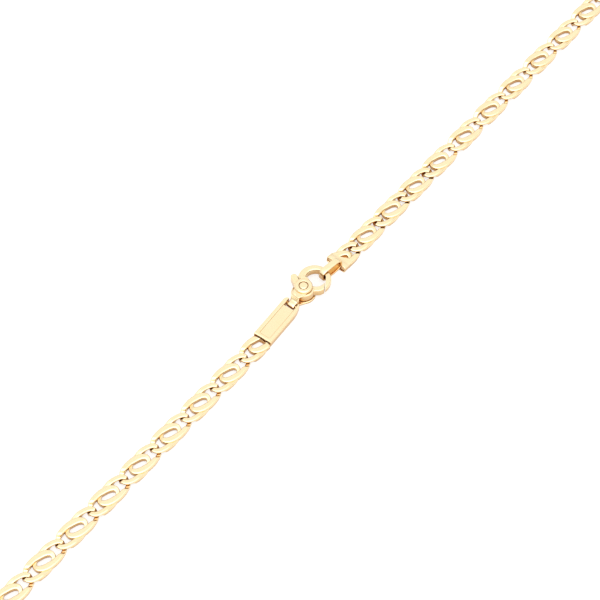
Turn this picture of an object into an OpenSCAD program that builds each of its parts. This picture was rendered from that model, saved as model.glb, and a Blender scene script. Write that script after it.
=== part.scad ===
/* [Chain link] */
// Length of one link from nose to nose
link_l = 9.96; // [9.9:0.02:10.1]
// Width of the chain
chain_w = 4.26; // [4.2:0.02:4.4]
// Thickness of the chain
chain_t = 1.15; // [1.1:0.05:1.3]
// Length of each of the two ovals in a link
oval_l = 7.3; // [7.2:0.05:7.4]
// Width of the strand at the end of an oval that hooks the next link
strand_end = 0.57; // [0.45:0.01:0.64]
// Width of the strand at the other end, in the middle of the link
strand_inner = 0.95; // [0.8:0.05:1]
// Mean width of the strand along the sides of an oval
strand_side = 1.1; // [1.04:0.02:1.12]
// Turn of the hole against its oval, in degrees
hole_turn = 5; // [4:0.5:5.5]
// Clear height between two strands that cross
strand_gap = 0.12; // [0.1:0.01:0.15]

/* [Chain run] */
// Distance between links in the run round the neck
link_pitch = 8.2; // [8.15:0.05:8.25]
// Distance between the links that are pushed together beside the cap
close_pitch = 7.75; // [7.7:0.05:7.8]
// Distance between the links that are pulled tight after those
tight_pitch = 8.55; // [8.45:0.05:8.55]
// Distance between the straight links beside the tag
tag_pitch = 8.25; // [8.2:0.05:8.3]
// Number of bends in each corner of the loop
corner_bends = 10; // [9:1:11]

/* [Tag] */
// Length of the tag without its half link
tag_l = 10.2; // [10:0.1:10.4]
// Width of the tag
tag_w = 3.85; // [3.75:0.05:3.95]
// Thickness of the tag at its rails
tag_t = 1.5; // [1.4:0.05:1.7]
// Width of each side rail
rail_w = 0.8; // [0.75:0.05:0.9]
// Turn of the tag against the chain, in degrees
tag_turn = 3.8; // [3:0.2:5]

/* [Clasp] */
// Thickness of the clasp at its round cheeks
clasp_t = 3; // [2.9:0.05:3.1]
// Radius of the upper cheek
cheek_r = 1.7; // [1.6:0.05:1.8]
// Radius of the lower cheek
foot_r = 2.35; // [2.25:0.05:2.4]
// Radius of the rivet's heads
rivet_head_r = 0.87; // [0.8:0.01:0.9]
// Outer radius of the hook
hook_r = 3.15; // [3.1:0.05:3.2]
// Thickness of the hook and of the lever
hook_t = 1.6; // [1.5:0.05:1.65]
// Running clearance between the lever's bore and the rivet
bore_gap = 0.03; // [0.02:0.01:0.05]

/* [Cap and bail] */
// Width of the cap
cap_w = 4.4; // [4.3:0.05:4.5]
// Thickness of the cap at its mouth
cap_t = 1.45; // [1.4:0.05:1.6]
// Height of the bail ring
bail_h = 2.95; // [2.9:0.05:3]
// Width of the bail's band
bail_w = 1.2; // [1.1:0.05:1.25]
// Turn of the bail against the chain, in degrees
bail_turn = -7; // [-9:1:-5]

/* [Hidden] */
gold = [0.93, 0.76, 0.38];
pale_gold = [0.96, 0.83, 0.5];
far = 6;

// Crossing strands, measured from the middle of a link
oval_x = (link_l - oval_l) / 2;
hole_y = 0.08;
low_z = (chain_t - strand_gap) / 2;
high_z = (chain_t + strand_gap) / 2;
dive_turn = 41;
dive_start = 1.67;
dive_run = 0.55;
nose_half = 0.1;
inner_turn = 51;
inner_low = 2.05;
inner_high = 2.25;
inner_drop = 0.14;
inner_y = 0.9;
band_drop = 0.3;
band_end = 1.6;
band_rise = 1.2;
band_run = 0.95;

// Links in order from the cap round the neck to the tag
close_n = 4;
tight_n = 7;
hidden_n = 50;
tag_n = 8;
straight_n = close_n + tight_n;
links_n = straight_n + hidden_n + tag_n;
cap_side_n = straight_n + hidden_n / 2;
cap_link_x = 11.75;
tag_link_x = -12.95;
back_bends = hidden_n + 1 - 2 * corner_bends;
run_start_x = cap_link_x + close_n * close_pitch + tight_n * tight_pitch + link_pitch / 2;
run_end_x = tag_link_x - tag_n * tag_pitch - link_pitch / 2;

// The run turns right by the corner angle at each corner bend, and evenly round the back
function back_angle(corner) = (360 - 2 * corner_bends * corner) / back_bends;
function turned(i, corner) = min(i, corner_bends) * corner
    + min(max(i - corner_bends, 0), back_bends) * back_angle(corner)
    + max(i - corner_bends - back_bends, 0) * corner;
function total(list, n) = n < 0 ? 0 : list[n] + total(list, n - 1);
function run_width(corner) =
    total([for (i = [1:hidden_n]) link_pitch * cos(turned(i, corner))], hidden_n - 1);
function closing_corner(low, high, steps) = let (mid = (low + high) / 2)
    steps == 0 ? mid
    : run_width(mid) > run_end_x - run_start_x ? closing_corner(mid, high, steps - 1)
    : closing_corner(low, mid, steps - 1);
corner_angle = closing_corner(10, 18, 30);

// Distance between link k and the next one
function pitch_after(k) = k < close_n ? close_pitch
    : k < straight_n ? tight_pitch
    : k <= straight_n + hidden_n ? link_pitch
    : tag_pitch;
function link_heading(k) = -turned(min(max(k - straight_n, 0), hidden_n + 1), corner_angle);
function link_step(k) = let (a = link_heading(k), b = link_heading(k + 1), p = pitch_after(k) / 2)
    [p * (cos(a) + cos(b)), p * (sin(a) + sin(b))];
steps = [for (k = [0:links_n]) link_step(k)];
function link_place(k) = k == 0 ? [cap_link_x, 0] : link_place(k - 1) + steps[k - 1];

// The frame's origin is under the middle of the whole necklace
mid_x = (run_start_x + run_end_x) / 2;
loop_depth = -link_place(straight_n + hidden_n / 2)[1] + chain_w / 2;
lever_top_y = 4.56;
mid_y = (lever_top_y - loop_depth) / 2;

// Tag, measured from the middle of its near end
tag_x = -11.8;
tag_y = 0.08;
panel_drop = 0.18;
slot_l = 1.75;
slot_w = 2.2;
pin_x = 9.55;
pin_z = 0.8;
pin_r = 0.3;
ear_r = 0.8;
solder = 0.3;

// Clasp, measured from the rivet's axis
clasp_x = 1.42;
clasp_y = 0.95;
cheek_t = 0.55;
foot_z = 0.05;
lever_z = (clasp_t - hook_t) / 2;
rivet_r = 0.5;
head_t = 0.25;
press_gap = 0.01;
hub_r = 1.35;
hub_gap = 0.1;
lobe_r = 2.15;
lobe_from = 214;
lobe_to = 300;
hook_x = 3;
hook_y = -0.25;
eye_x = 3.15;
eye_y = -0.45;
eye_r = 1.93;
edge_in = 0.25;
slit_x = 2.83;
slit_y = -2.9;
slit_turn = 36;
slit_gap = 0.2;
gate_way = 0.9;
tail_x = -3.67;
tail_y = -0.23;
tail_r = 0.72;
tail_bore = 0.45;
tail_w = 1.6;
tail_z = 0.15;
tab_turn = 60;
tab_l = 3.66;
tab_w = 1.25;
tab_y = 0.75;

// Cap and bail, measured from the middle of the cap's mouth
cap_x = 10.1;
cap_y = 0.2;
cap_flat = 1;
cap_slope = 0.7;
cap_wall = 0.22;
cap_round = 0.45;
mouth_l = 0.8;
bail_x = 5.75;
bail_y = 0.33;
bail_band = 0.42;

function oval(a, b, n, p = 1) = [for (i = [0:n - 1])
    let (t = 360 * i / n, c = cos(t), s = sin(t))
    [a * sign(c) * pow(abs(c), p), b * sign(s) * pow(abs(s), p)]];

// Oval whose right half is longer than its left half
function egg(right, left, b, n, p) = [for (point = oval(1, b, n, p))
    [point[0] * (point[0] > 0 ? right : left), point[1]]];

// Prism whose outline stands upright, x across and z up, and which runs from y0 to y1
module upright(y0, y1, outline) {
    translate([0, y1, 0])
        rotate([90, 0, 0])
            linear_extrude(y1 - y0)
                polygon(outline);
}

// Flat ring of one oval, before its strands are thinned where they cross others
module oval_ring() {
    linear_extrude(chain_t)
        difference() {
            polygon(oval(oval_l / 2, chain_w / 2, 18, 0.96));
            translate([0, hole_y])
                rotate(-hole_turn)
                    polygon(egg(oval_l / 2 - strand_end, oval_l / 2 - strand_inner,
                        chain_w / 2 - strand_side, 16, 0.96));
        }
}

// Prism whose outline stands across the chain, and which runs from x0 to x1
module along(x0, x1) {
    translate([x0, 0, 0])
        rotate([90, 0, 90])
            linear_extrude(x1 - x0)
                children();
}

// One oval of a link, in the link's own frame: its right end hooks the next link
module right_oval() {
    difference() {
        translate([oval_x, 0, 0])
            oval_ring();
        // under the next link's nose
        intersection() {
            rotate(dive_turn)
                upright(-far, far, [[dive_start - dive_run, chain_t], [dive_start, low_z],
                    [far, low_z], [far, chain_t + 1], [dive_start - dive_run, chain_t + 1]]);
            translate([0, -far, -1])
                cube([far, far - nose_half, chain_t + 3]);
        }
        // over the next link's strand
        intersection() {
            rotate(-dive_turn)
                upright(-far, far, [[dive_start - dive_run, 0], [dive_start, high_z],
                    [far, high_z], [far, -1], [dive_start - dive_run, -1]]);
            translate([0, nose_half, -2])
                cube([far, far, chain_t + 3]);
        }
        // strand that comes out from under the other oval
        intersection() {
            rotate(inner_turn)
                upright(-far, far, [[-far, chain_t - inner_drop], [inner_low, chain_t - inner_drop],
                    [inner_high, chain_t], [inner_high, chain_t + 1], [-far, chain_t + 1]]);
            translate([-far, inner_y, -1])
                cube([far + 3, far, chain_t + 3]);
        }
        // band beside the eye, sloping down to go under
        intersection() {
            rotate(90)
                upright(-band_end, far, [[0, chain_t], [band_run, chain_t - band_drop],
                    [far, chain_t - band_drop], [far, chain_t + 1], [0, chain_t + 1]]);
            upright(-far, far, [[-far, 0], [band_end - band_rise, 0], [band_end - band_rise, chain_t - band_drop],
                [band_end, chain_t], [band_end, chain_t + 1], [-far, chain_t + 1]]);
        }
    }
}

// Two ovals soldered where they overlap
module link() {
    right_oval();
    rotate(180)
        right_oval();
}

module placed() {
    translate([-mid_x, -mid_y, 0])
        children();
}

module string(first, last) {
    placed()
        for (k = [first:last])
            translate(link_place(k))
                rotate(link_heading(k))
                    link();
}

module chain_cap_side() {
    color(gold)
        string(1, cap_side_n);
}

module chain_tag_side() {
    color(gold)
        string(cap_side_n + 1, links_n);
}

// Outline of the tag seen from above: one far corner is round, the other tapers
module tag_outline() {
    half = tag_w / 2;
    taper = [[tag_l, -slot_w / 2 - 0.1], [tag_l - 0.6, -slot_w / 2 - 0.4], [tag_l - 1.5, 0.15 - half],
             [tag_l - 2.5, -half]];
    polygon(concat([[0, -half], [0, half], [tag_l - ear_r, half], [tag_l - ear_r, 0],
        [tag_l, 0]], taper));
    translate([tag_l - ear_r, half - ear_r])
        circle(ear_r, $fn = 48);
    translate([tag_l - ear_r, 0])
        square([ear_r, half - ear_r]);
}

module end_tag() {
    panel_w = tag_w - 2 * rail_w;
    color(pale_gold)
        placed() {
            // half link soldered to the near end
            intersection() {
                translate([tag_link_x, 0, 0])
                    link();
                translate([tag_x - far, -far, -1])
                    cube([far + solder, 2 * far, chain_t + 2]);
            }
            translate([tag_x, tag_y, 0])
                rotate(tag_turn) {
                    difference() {
                        linear_extrude(tag_t)
                            tag_outline();
                        translate([rail_w, -panel_w / 2, tag_t - panel_drop])
                            cube([tag_l, panel_w, 1]);
                        translate([tag_l - slot_l, -slot_w / 2, -1])
                            cube([slot_l + 1, slot_w, tag_t + 2]);
                    }
                    // cross pin that the clasp hangs on
                    translate([pin_x, -slot_w / 2 - 0.2, pin_z])
                        rotate([-90, 0, 0])
                            cylinder(h = slot_w + 0.4, r = pin_r, $fn = 32);
                }
        }
}

module clasp_placed() {
    placed()
        translate([clasp_x, clasp_y, 0])
            children();
}

// Half plane on the hook's side of the slit
module hook_side() {
    translate([slit_x, slit_y])
        rotate(slit_turn)
            translate([-9, -9 - slit_gap / 2])
                square([18, 9]);
}

// Hook seen from above, from the cheeks round to its tip, with its edges drawn in
module hook_outline(inset) {
    difference() {
        translate([hook_x, hook_y])
            circle(hook_r - inset, $fn = 96);
        translate([eye_x, eye_y])
            circle(eye_r + inset, $fn = 96);
        // free way for the gate
        difference() {
            translate([0, -far])
                square([slit_x + gate_way, far - 0.6]);
            hook_side();
        }
        translate([0, -far])
            square([1.8, far + 0.6]);
        // free way for the thumb tab
        rotate(tab_turn)
            translate([-3, tab_y - tab_w / 2 - 0.12])
                square([9, 9]);
    }
}

// Lever seen from above: hub, thumb tab and the gate that closes the hook
module lever_outline() {
    circle(hub_r, $fn = 96);
    intersection() {
        circle(lobe_r, $fn = 96);
        polygon([[0, 0], for (a = [lobe_from, (lobe_from + lobe_to) / 2, lobe_to])
            [far * cos(a), far * sin(a)]]);
    }
    rotate(tab_turn)
        translate([0, tab_y - tab_w / 2]) {
            square([tab_l - tab_w / 2, tab_w]);
            translate([tab_l - tab_w / 2, tab_w / 2])
                circle(tab_w / 2, $fn = 48);
        }
    difference() {
        polygon([[0, -1.1], [0.3, -1.9], [0.75, -2.2], [1.2, -2.75], [1.5, -2.98], [2.2, -3.3],
            [2.85, -2.95], [2.4, -1.9], [1.3, -0.2]]);
        hook_side();
        translate([slit_x, slit_y])
            rotate(slit_turn)
                translate([-3, -slit_gap / 2 - 0.1])
                    square([9, slit_gap + 0.1]);
        translate([eye_x, eye_y])
            circle(eye_r, $fn = 96);
    }
}

// Tail seen from above, clear of the lever's lobe
module tail_outline() {
    polygon([[-1.2, 0.2], [-1.48, 0.2], [-1.28, 1.2], [-1.5, 1.3], [-2.2, 1.1], [-3, 0.7],
        [tail_x, tail_y + tail_w / 2], [tail_x, tail_y - tail_w / 2], [-3.1, -1.03],
        [-2.6, -1], [-2.2, -0.85], [-1.65, -0.8], [-1.25, -0.75]]);
}

// Its foot, which joins the lower cheek
module tail_foot_outline() {
    polygon([[-3.3, -1.03], [-2.5, -1.25], [-1.5, -1.85], [-0.9, -2.05], [-0.6, -1], [-1.2, 0.2],
        [-3.3, 0.4]]);
}

module clasp_body() {
    color(pale_gold)
        clasp_placed()
            difference() {
                union() {
                    translate([0, 0, foot_z])
                        cylinder(h = cheek_t, r = foot_r, $fn = 96);
                    translate([0, 0, clasp_t - cheek_t])
                        cylinder(h = cheek_t, r = cheek_r, $fn = 96);
                    // hook, narrower along its upper and lower edges
                    translate([0, 0, lever_z])
                        linear_extrude(hook_t)
                            hook_outline(edge_in);
                    translate([0, 0, lever_z + edge_in])
                        linear_extrude(hook_t - 2 * edge_in)
                            hook_outline(0);
                    // root of the hook, between the cheeks
                    translate([0, 0, foot_z + 0.3])
                        linear_extrude(clasp_t - 2 * foot_z - 0.6)
                            polygon([[0.75, 1.1], [1.2, 1.9], [1.9, 2], [2, 0.5], [1.75, -0.1],
                                [1.2, -0.1]]);
                    // tail, sloping down to its eye, on a wider foot
                    intersection() {
                        translate([0, 0, tail_z])
                            union() {
                                linear_extrude(clasp_t)
                                    tail_outline();
                                linear_extrude(foot_z + cheek_t - tail_z)
                                    tail_foot_outline();
                            }
                        upright(-far, far, [[tail_x, tail_z], [tail_x, pin_z + 0.65], [-3.1, 1.5],
                            [-2.6, 2.5], [-1.7, 2.6], [-0.6, 2.6], [-0.6, tail_z]]);
                    }
                    translate([tail_x, tail_y - tail_w / 2, pin_z])
                        rotate([-90, 0, 0])
                            cylinder(h = tail_w, r = tail_r, $fn = 48);
                }
                // room that the lever turns in
                translate([0, 0, foot_z + cheek_t])
                    cylinder(h = clasp_t - 2 * cheek_t - foot_z, r = hub_r + hub_gap, $fn = 96);
                // bores for the rivet and its heads
                cylinder(h = clasp_t, r = rivet_r + press_gap, $fn = 48);
                translate([0, 0, clasp_t - head_t - press_gap])
                    cylinder(h = 1, r = rivet_head_r + press_gap, $fn = 48);
                translate([0, 0, foot_z + head_t + press_gap - 1])
                    cylinder(h = 1, r = rivet_head_r + press_gap, $fn = 48);
                // bore for the tag's cross pin
                translate([tail_x, tail_y - 2, pin_z])
                    rotate([-90, 0, 0])
                        cylinder(h = 4, r = tail_bore, $fn = 48);
            }
}

module clasp_lever() {
    color(gold)
        clasp_placed()
            translate([0, 0, lever_z])
                linear_extrude(hook_t)
                    difference() {
                        lever_outline();
                        circle(rivet_r + bore_gap, $fn = 48);
                    }
}

module clasp_rivet() {
    color(pale_gold)
        clasp_placed() {
            translate([0, 0, foot_z])
                cylinder(h = clasp_t - foot_z, r = rivet_r, $fn = 48);
            translate([0, 0, foot_z])
                cylinder(h = head_t, r = rivet_head_r, $fn = 48);
            translate([0, 0, clasp_t - head_t])
                cylinder(h = head_t, r = rivet_head_r, $fn = 48);
        }
}

// Upright section of the cap with rounded sides
module cap_section(inset) {
    for (side = [-1, 1])
        for (z = [cap_round, cap_t - cap_round])
            translate([side * (cap_w / 2 - cap_round), z])
                circle(cap_round - inset, $fn = 32);
    translate([cap_round - cap_w / 2, inset])
        square([cap_w - 2 * cap_round, cap_t - 2 * inset]);
    translate([inset - cap_w / 2, cap_round])
        square([cap_w - 2 * inset, cap_t - 2 * cap_round]);
}

module end_cap() {
    cap_l = cap_flat + cap_slope;
    bail_l = cap_x + mouth_l + 0.05 - bail_x;
    color(pale_gold)
        placed() {
            // half link soldered to the back, with its eye partly filled
            intersection() {
                translate([cap_link_x, 0, 0])
                    link();
                translate([cap_x + cap_l - solder, -far, -1])
                    cube([2 * far, 2 * far, chain_t + 2]);
            }
            translate([cap_x, cap_y, 0]) {
                linear_extrude(chain_t)
                    polygon([[cap_flat, -2.1], [cap_flat, 2], [cap_l, 2.05], [2.3, 1.7], [1.9, 0.5],
                        [2.6, -1.1], [2.6, -2.25], [cap_l, -2.25]]);
                difference() {
                    intersection() {
                        along(0, cap_l)
                            cap_section(0);
                        upright(-far, far, [[0, 0], [cap_l, 0], [cap_l, chain_t], [cap_flat, cap_t],
                            [0, cap_t]]);
                    }
                    along(-1, mouth_l)
                        cap_section(cap_wall);
                }
            }
            // upright bail ring, soldered in the cap's mouth
            translate([bail_x, bail_y, bail_h / 2])
                rotate(bail_turn)
                    translate([bail_l / 2, bail_w / 2, 0])
                        rotate([90, 0, 0])
                            linear_extrude(bail_w)
                                difference() {
                                    polygon(oval(bail_l / 2, bail_h / 2, 24, 0.6));
                                    polygon(oval(bail_l / 2 - bail_band, bail_h / 2 - bail_band, 24, 0.6));
                                }
        }
}

chain_tag_side();
chain_cap_side();
end_tag();
clasp_body();
clasp_lever();
clasp_rivet();
end_cap();
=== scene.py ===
# %% [markdown]
# # A gold knot chain on a white table
# The real thing is a flat necklace of polished yellow gold. Each link is two ovals that overlap and are soldered,
# and each oval hooks the next link with one strand under it and one strand over it.
# The exact solids come from CAD. This file makes the surfaces that the eye sees: softened edges,
# strands that dive and rise smoothly, and a polished finish with the fine marks of wear.

# %% Load the frame
import math

import bpy
import numpy as np
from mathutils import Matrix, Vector


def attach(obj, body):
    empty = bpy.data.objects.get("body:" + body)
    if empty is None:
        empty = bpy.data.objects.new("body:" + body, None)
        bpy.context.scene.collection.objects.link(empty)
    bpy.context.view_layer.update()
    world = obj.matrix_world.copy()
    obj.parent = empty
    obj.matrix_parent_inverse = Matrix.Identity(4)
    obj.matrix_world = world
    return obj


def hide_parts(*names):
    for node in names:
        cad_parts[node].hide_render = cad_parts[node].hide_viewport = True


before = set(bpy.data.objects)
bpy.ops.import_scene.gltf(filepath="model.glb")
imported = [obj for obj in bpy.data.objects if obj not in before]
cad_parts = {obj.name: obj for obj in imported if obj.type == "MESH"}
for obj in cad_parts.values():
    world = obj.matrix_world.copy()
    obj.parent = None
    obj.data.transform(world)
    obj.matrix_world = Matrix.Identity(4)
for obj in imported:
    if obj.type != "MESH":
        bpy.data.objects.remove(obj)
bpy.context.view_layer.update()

# %% [markdown]
# ## Where things are
# A jeweller measures along the chain. So every piece here is worked out in millimetres, x along the straight
# run at the clasp and y across it, and is moved into the frame at the very end.
# One small function does that for all of them, which keeps the pieces in register with the solids.

# %% Chain coordinates and the frame
MM = 0.001
MIDDLE_OF_NECKLACE = np.array([11.825, -51.66, 0.0])  # the frame's origin, in chain millimetres


def in_frame(points):
    """Chain coordinates in millimetres become frame coordinates in metres: less the middle, times 0.001."""
    return (np.asarray(points, float) - MIDDLE_OF_NECKLACE) * MM


print("zero of the chain coordinates, under the clasp, is at", in_frame([0, 0, 0]).round(4), "in the frame")

# %% [markdown]
# ## The camera
# The chain runs up to the right and the camera looks down on it from the clasp's open side.
# A long lens far away gives the flat, catalogue look of a product picture. A short lens close by would make
# the near links bulge. The place comes from one target on the table, one heading, one angle down and one distance.

# %% Camera at the viewing angle of the picture
LOOK_AT = in_frame([0.0, 0.65, 0.0])
HEADING = np.array([0.777, 0.629]) / math.hypot(0.777, 0.629)
LOOK_DOWN = math.radians(55)
DISTANCE_MM = 386.0
LENS_MM = 123.42

look = Vector((*(HEADING * math.cos(LOOK_DOWN)), -math.sin(LOOK_DOWN)))
camera = bpy.data.objects.new("camera", bpy.data.cameras.new("camera"))
camera.location = Vector(LOOK_AT) - look * DISTANCE_MM * MM
camera.rotation_mode = "QUATERNION"
camera.rotation_quaternion = look.to_track_quat("-Z", "Y")
camera.data.lens = LENS_MM
camera.data.sensor_width = 36.0
camera.data.clip_start = 0.01
camera.data.clip_end = 10.0
bpy.context.scene.collection.objects.link(camera)
bpy.context.scene.camera = camera
print("camera at", [round(value, 4) for value in camera.location])

# %% [markdown]
# ## Skins over rows of points
# Almost every piece is a grid of points with a skin over it. The rows follow a path and the columns go round
# a section. Modifiers could round a block as well, but a grid keeps control of each edge's radius,
# and a polished piece is mostly judged by the highlights along its edges.
# A skin must face outwards, so its volume is measured, and a negative one turns every face round.

# %% Skin over a grid of points
def volume_of(points, faces):
    """Signed volume under a skin: the sum over its triangles of corner a times the cross product of b and c, over 6."""
    total = 0.0
    for part in faces:
        for second in range(1, part.shape[1] - 1):
            a, b, c = points[part[:, 0]], points[part[:, second]], points[part[:, second + 1]]
            total += float(np.einsum("ij,ij->", a, np.cross(b, c)))
    return total / 6


def skin(rings, ring_path=False):
    """Skin over rings[row, column]: each point joins its neighbours in its row and the next one.
    Columns always close. Rows close too on a ring path; otherwise a flat face shuts each end."""
    rows, columns = rings.shape[:2]
    row, column = np.meshgrid(np.arange(rows if ring_path else rows - 1), np.arange(columns), indexing="ij")
    after, beside = (row + 1) % rows, (column + 1) % columns
    quads = np.stack([row * columns + column, row * columns + beside,
                      after * columns + beside, after * columns + column], -1).reshape(-1, 4)
    faces = [quads]
    if not ring_path:
        faces.append(np.arange(columns)[None, ::-1])
        faces.append(np.arange(columns)[None, :] + (rows - 1) * columns)
    points = rings.reshape(-1, 3)
    if volume_of(points - points.mean(0), faces) < 0:
        faces = [part[:, ::-1] for part in faces]
    return points, faces


# %% [markdown]
# ## From skins to a piece
# A piece is often several forms in one, such as the cheeks, hook and tail of a cast clasp. Their skins go into
# one mesh and may run into each other. Joining them with Booleans would leave ragged faces along each seam.
# Shading is smooth up to a limit angle, so filed edges stay crisp without more faces.

# %% Make one mesh piece of several skins
SHARP_ANGLE = math.radians(48)


def make_piece(name, skins, finish, body, nodes, painted_reflection_mask=None):
    """Puts skins, each points and faces in chain millimetres, into one smooth mesh that stands for CAD nodes.
    The attribute painted_reflection_mask, where the finish paints a reflection of gold, is 0, except on a skin whose
    number is in painted_reflection_mask, which gives a value for each point."""
    points = np.concatenate([part[0] for part in skins])
    first = np.cumsum([0] + [len(part[0]) for part in skins[:-1]])
    faces = [(row + start).tolist() for (_, groups), start in zip(skins, first) for group in groups for row in group]
    mesh = bpy.data.meshes.new(name)
    mesh.from_pydata(in_frame(points).tolist(), [], faces)
    mesh.polygons.foreach_set("use_smooth", np.ones(len(faces), bool))
    mesh.set_sharp_from_angle(angle=SHARP_ANGLE)
    lit = [(painted_reflection_mask or {}).get(k, np.zeros(len(part[0]))) for k, part in enumerate(skins)]
    mesh.attributes.new("painted_reflection_mask", "FLOAT", "POINT").data.foreach_set("value", np.concatenate(lit))
    mesh.materials.append(finish)
    piece = bpy.data.objects.new(name, mesh)
    bpy.context.scene.collection.objects.link(piece)
    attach(piece, body)
    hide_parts(*nodes)
    triangles = sum(len(face) - 2 for face in faces)
    print(name, "has", triangles, "triangles and", len(skins), "skins")
    return piece


# %% [markdown]
# ## Shader arithmetic
# Polished gold isn't one colour: its haze, hairlines and tone change over the surface.
# Such patterns are sums and products of noises. Written with node boxes they are hard to read, so a small class
# wraps a socket, and then `0.1 + 0.2 * haze` adds the Math nodes by itself.

# %% Sockets as numbers
class Signal:
    """One shader socket that sums, products and powers can be written with."""

    def __init__(self, tree, socket):
        self.tree, self.socket = tree, socket

    def node(self, kind, settings=None, output=0, **sockets):
        """Adds a node: its settings first, then values or links by socket name (spaces as _) or _number."""
        made = self.tree.nodes.new(kind)
        for key, value in (settings or {}).items():
            setattr(made, key, value)
        for key, value in sockets.items():
            place = made.inputs[int(key[1:]) if key[1:].isdigit() else key.replace("_", " ")]
            if isinstance(value, Signal):
                self.tree.links.new(value.socket, place)
            else:
                place.default_value = value
        return Signal(self.tree, made.outputs[output])

    def _math(self, operation, first, second):
        return self.node("ShaderNodeMath", {"operation": operation}, _0=first, _1=second)

    def __add__(self, other):
        return self._math("ADD", self, other)

    def __radd__(self, other):
        return self._math("ADD", other, self)

    def __mul__(self, other):
        return self._math("MULTIPLY", self, other)

    def __rmul__(self, other):
        return self._math("MULTIPLY", other, self)

    def __pow__(self, other):
        return self._math("POWER", self, other)


# %% [markdown]
# ## Polished gold
# Fresh gold of this alloy is pale in a white room and deepens to tan and brown where it only sees itself.
# A metal shader tints the light at each bounce, but that alone looks paler here than the real thing. So light and
# shade are painted into the colour in three places: a darker tan as painted shade on steep walls, a painted brown
# shade in narrow recesses, which ambient occlusion finds, and a painted orange reflection inside the bail, which faces
# other gold.
# On top come a slow change of tone from the wheel, a fine haze, and hairlines from wear,
# all in object coordinates and at their real size: about 2 mm, 0.2 mm and 0.04 mm.
# Painted maps would look the same, but would need unwrapping and would blur in a close view.

# %% Gold finish
GOLD_PALE = (0.985, 0.825, 0.535, 1.0)
GOLD_WARM = (0.98, 0.79, 0.475, 1.0)
# Painted shade: steep walls of the chain and of the fittings take these darker tans
CHAIN_WALL_SHADE = (0.78, 0.575, 0.31, 1.0)
FITTING_WALL_SHADE = (0.69, 0.48, 0.245, 1.0)
# Painted reflection: the inside of the bail takes this orange for the gold it faces
PAINTED_GOLD_REFLECTION = (0.9, 0.45, 0.12, 1.0)
# Painted shade: narrow recesses, found by ambient occlusion, take this brown
PAINTED_RECESS_SHADE = (0.42, 0.19, 0.04, 1.0)
TONE_SCALE, HAZE_SCALE = 450.0, 4500.0  # patches in each metre
HAIRLINE_SCALE, HAIRLINE_TURNS, HAIRLINE_SHARPNESS = (1500.0, 26000.0, 4000.0), (0.7, -0.45), 6.0
HAZE_RELIEF, TONE_RELIEF, HAIRLINE_RELIEF, HAIRLINE_DULL = 0.5, 1.5, 2.0, 0.5
WALL_LIMIT = 0.3  # z of the normal from which a face has no painted wall shade
RECESS_DEEP = 0.12  # openness at which a recess has the full painted brown shade


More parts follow.
